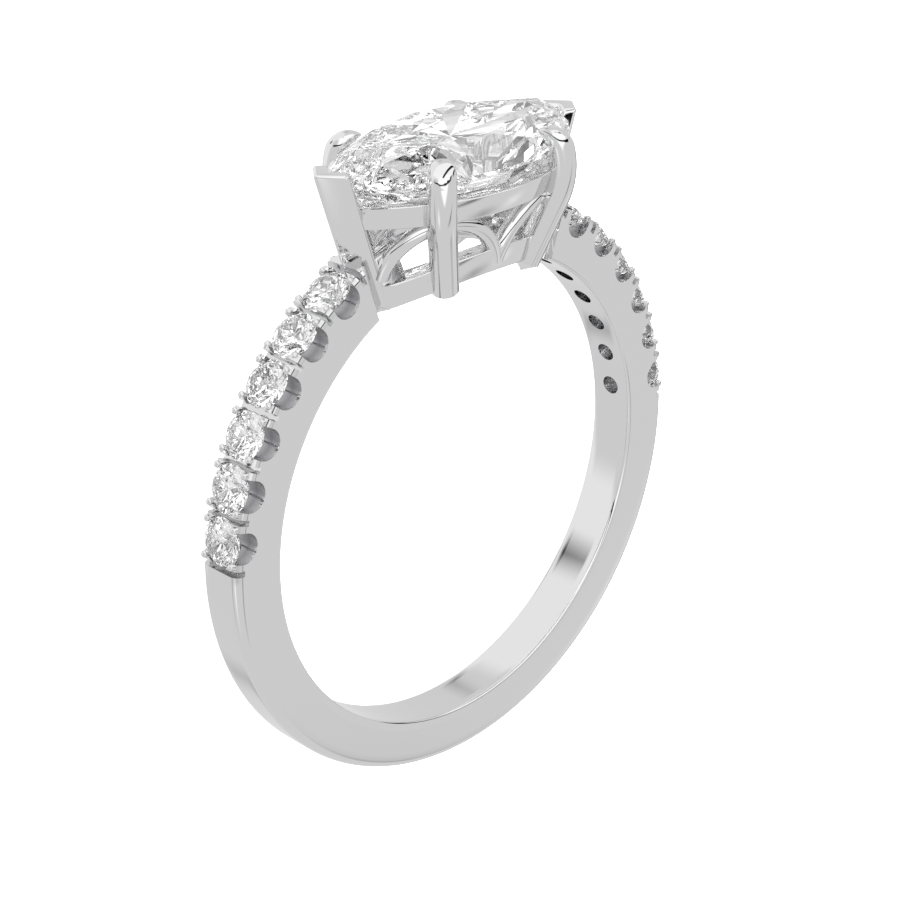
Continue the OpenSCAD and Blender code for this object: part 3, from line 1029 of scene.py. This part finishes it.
lamp = bpy.data.lights.new("overhead_lamp", "AREA")
lamp.size = LAMP_SIZE
lamp.energy = LAMP_LEVEL * math.pi * LAMP_SIZE ** 2
overhead = make_object("overhead_lamp", lamp)
overhead.matrix_world = aimed(LAMP_TOWARDS, LAMP_AWAY)
overhead.visible_glossy = False
print("lamp:", round(lamp.energy, 1), "W")

# %% [markdown]
# ## Cards
# Polished metal shows only what it mirrors, and a cut stone only what its facets lead to. In an even
# white tent both lose their shape, so a photographer hangs white and dark cards round a ring, and so
# does this script. A card has one brightness and fades out towards its edges. The camera doesn't see it,
# and it casts no shadow. A ribbon is a long card that curves round the ring and draws the dark lines
# along the metal's edges.
#
# Light that a surface mirrors is glossy, and light that leaves a stone is transmitted, and each object
# can be hidden from either. So a flag is a card that only the stones see: it gives them dark facets and
# leaves the metal bright. Three large white cards are for the metal alone.

# %% A card's material
def card_material(name, level, fade):
    """One brightness, which fades out over this share of the card's half width."""
    material = bpy.data.materials.new(name)
    material.use_nodes = True
    tree = material.node_tree
    tree.nodes.clear()
    maker = Socket(tree)
    sheet = maker.make("ShaderNodeUVMap", {"uv_map": "sheet"})

    def share(axis):
        along = maker.make("ShaderNodeSeparateXYZ", output=axis, _0=sheet)
        return ((1 - (along * 2 - 1).maths("ABSOLUTE")) / fade).clamped(0, 1)

    cover = share("X") * share("Y")
    cover = cover * cover * (3 - 2 * cover)
    glow = maker.make("ShaderNodeEmission", Color=WHITE, Strength=level)
    clear = maker.make("ShaderNodeBsdfTransparent")
    look = maker.make("ShaderNodeMixShader", _0=cover, _1=clear, _2=glow)
    look.feed(tree.nodes.new("ShaderNodeOutputMaterial").inputs["Surface"])
    return material


# %% Cards, ribbons and flags
NEAR, FAR = 0.3, 0.42   # metres from the ring


def stage_card(name, points, faces, sheet_at, level, fade):
    """A card that is fully there in the middle of its sheet coordinates and faded at their ends."""
    thing = make_object(name, make_mesh(name, points, faces))
    sheet = thing.data.uv_layers.new(name="sheet")
    for loop in thing.data.loops:
        sheet.data[loop.index].uv = sheet_at[loop.vertex_index]
    thing.data.materials.append(card_material(name, level, fade))
    thing.visible_camera = False
    thing.visible_shadow = False
    thing.visible_diffuse = False
    return thing


def card(name, direction, width, height, level, fade, distance=NEAR):
    """A flat card; its width and height are in metres."""
    corners = [(0, 0), (1, 0), (1, 1), (0, 1)]
    pose = aimed(direction, distance)
    points = [pose @ Vector(((x - 0.5) * width, (y - 0.5) * height, 0)) for x, y in corners]
    return stage_card(name, points, [(0, 1, 2, 3)], corners, level, fade)


def ribbon(name, directions, widths, level, fade):
    """A long card that follows a row of directions; its widths are angles in degrees."""
    points, faces, sheet_at = [], [], []
    for i, direction in enumerate(directions):
        ahead = directions[min(i + 1, len(directions) - 1)] - directions[max(i - 1, 0)]
        aside = direction.cross(ahead).normalized() * math.tan(math.radians(widths[i] / 2))
        for side in (-1, 1):
            points.append(REST.to_3x3() @ (direction + aside * side) * NEAR)
            sheet_at.append((0.5, 0.5 + side / 2))
        if i:
            faces.append((2 * i - 2, 2 * i, 2 * i + 1, 2 * i - 1))
    return stage_card(name, points, faces, sheet_at, level, fade)


# %% Ribbons
HORIZON_UP, HORIZON_FROM, HORIZON_TO = 14, 195, 0   # degrees above T and F, and round from east
HORIZON_STEPS, HORIZON_WIDTHS = 39, (6, 12)
OVER_FROM, OVER_TO = Vector((-0.45, 0.7, 0.45)), Vector((0.7, 0.75, -0.05))
OVER_STEPS, OVER_WIDTH = 15, 9
RIBBON_FADE = 0.3


def level_line(height, start, stop, steps):
    """Directions round the ring at one height above the plane of T and F, in degrees."""
    turns = [math.radians(start + (stop - start) * i / steps) for i in range(steps + 1)]
    flat, rise = math.cos(math.radians(height)), math.sin(math.radians(height))
    return [Vector((flat * math.cos(t), rise, flat * math.sin(t))) for t in turns]


horizon = level_line(HORIZON_UP, HORIZON_FROM, HORIZON_TO, HORIZON_STEPS)
first, last = HORIZON_WIDTHS
widths = [first + (last - first) * i / HORIZON_STEPS for i in range(len(horizon))]
ribbon("ribbon_horizon", horizon, widths, 0.0, RIBBON_FADE)
over = [OVER_FROM.lerp(OVER_TO, i / OVER_STEPS).normalized() for i in range(OVER_STEPS + 1)]
ribbon("ribbon_over", over, [OVER_WIDTH] * len(over), 0.0, RIBBON_FADE)
print("ribbons:", len(horizon), "and", len(over), "stations")

# %% Cards for the metal alone
METAL_CARDS = [  # name, direction in T, U and F, width, height, level, fade, distance
    ("card_bright", (0, 1, 0.3), 1.2, 0.9, 1.2, 0.3, FAR),
    ("card_front", (-0.35, 0.5, 0.75), 0.7, 0.6, 1.35, 0.3, 0.38),
    ("card_below", (-0.25, 0.35, -0.85), 0.9, 0.8, 1.04, 0.25, FAR)]
for row in METAL_CARDS:
    card(*row).visible_transmission = False
print("cards for the metal:", [row[0] for row in METAL_CARDS])

# %% Cards for the metal and the stones
SHARED_CARDS = [  # name, direction in T, U and F, width, height, level, fade
    ("card_bore", (-0.57, 0.51, -0.64), 0.12, 0.09, 0.0, 1.0),
    ("card_bore_low", (0.5, 0.55, -0.64), 0.08, 0.06, 0.3, 1.0),
    ("card_under", (-0.2, 0.35, -0.9), 0.12, 0.08, 0.1, 0.6),
    ("card_left", (-0.9, -0.42, -0.19), 0.30, 0.06, 0.35, 1.0),
    ("card_west", (-0.8, -0.45, 0.3), 0.20, 0.12, 1.2, 1.0),
    ("card_right", (0.33, -0.42, 0.85), 0.30, 0.05, 0.2, 1.0),
    ("card_rim", (-0.1, -0.75, -0.6), 0.10, 0.10, 0.55, 1.0),
    ("card_side", (0.74, -0.55, 0.45), 0.10, 0.10, 1.0, 1.0),
    ("card_side_low", (0.5, -0.7, 0.55), 0.12, 0.12, 0.5, 1.0),
    ("card_edge_right", (0.9, -0.42, -0.08), 0.30, 0.08, 0.1, 0.6),
    ("card_edge_left", (0.08, -0.42, -0.9), 0.08, 0.14, 0.45, 0.8)]
for row in SHARED_CARDS:
    card(*row)
print("cards for both:", len(SHARED_CARDS))

# %% Flags for the stones alone
BLACK_FADE = 0.2
FLAGS = [  # name, direction in T, U and F, width, height
    ("flag_camera", (-0.64, 0.46, 0.62), 0.18, 0.16),
    ("flag_dark_facet", (-0.70, 0.58, -0.41), 0.26, 0.24),
    ("flag_under_girdle", (0.76, -0.32, -0.57), 0.16, 0.16),
    ("flag_front", (-0.16, 0.78, 0.60), 0.12, 0.12),
    ("flag_mirror", (0.75, 0.75, 0.15), 0.16, 0.14),
    ("flag_east", (0.95, -0.1, -0.35), 0.20, 0.20),
    ("flag_down", (0.2, 0.2, -0.95), 0.12, 0.12)]
card("flag_bright", (0, 1, 0.2), 1.2, 1.0, 1.5, 0.3, FAR).visible_glossy = False
for row in FLAGS:
    card(*row, 0.0, BLACK_FADE).visible_glossy = False
print("flags: one bright and", len(FLAGS), "black")
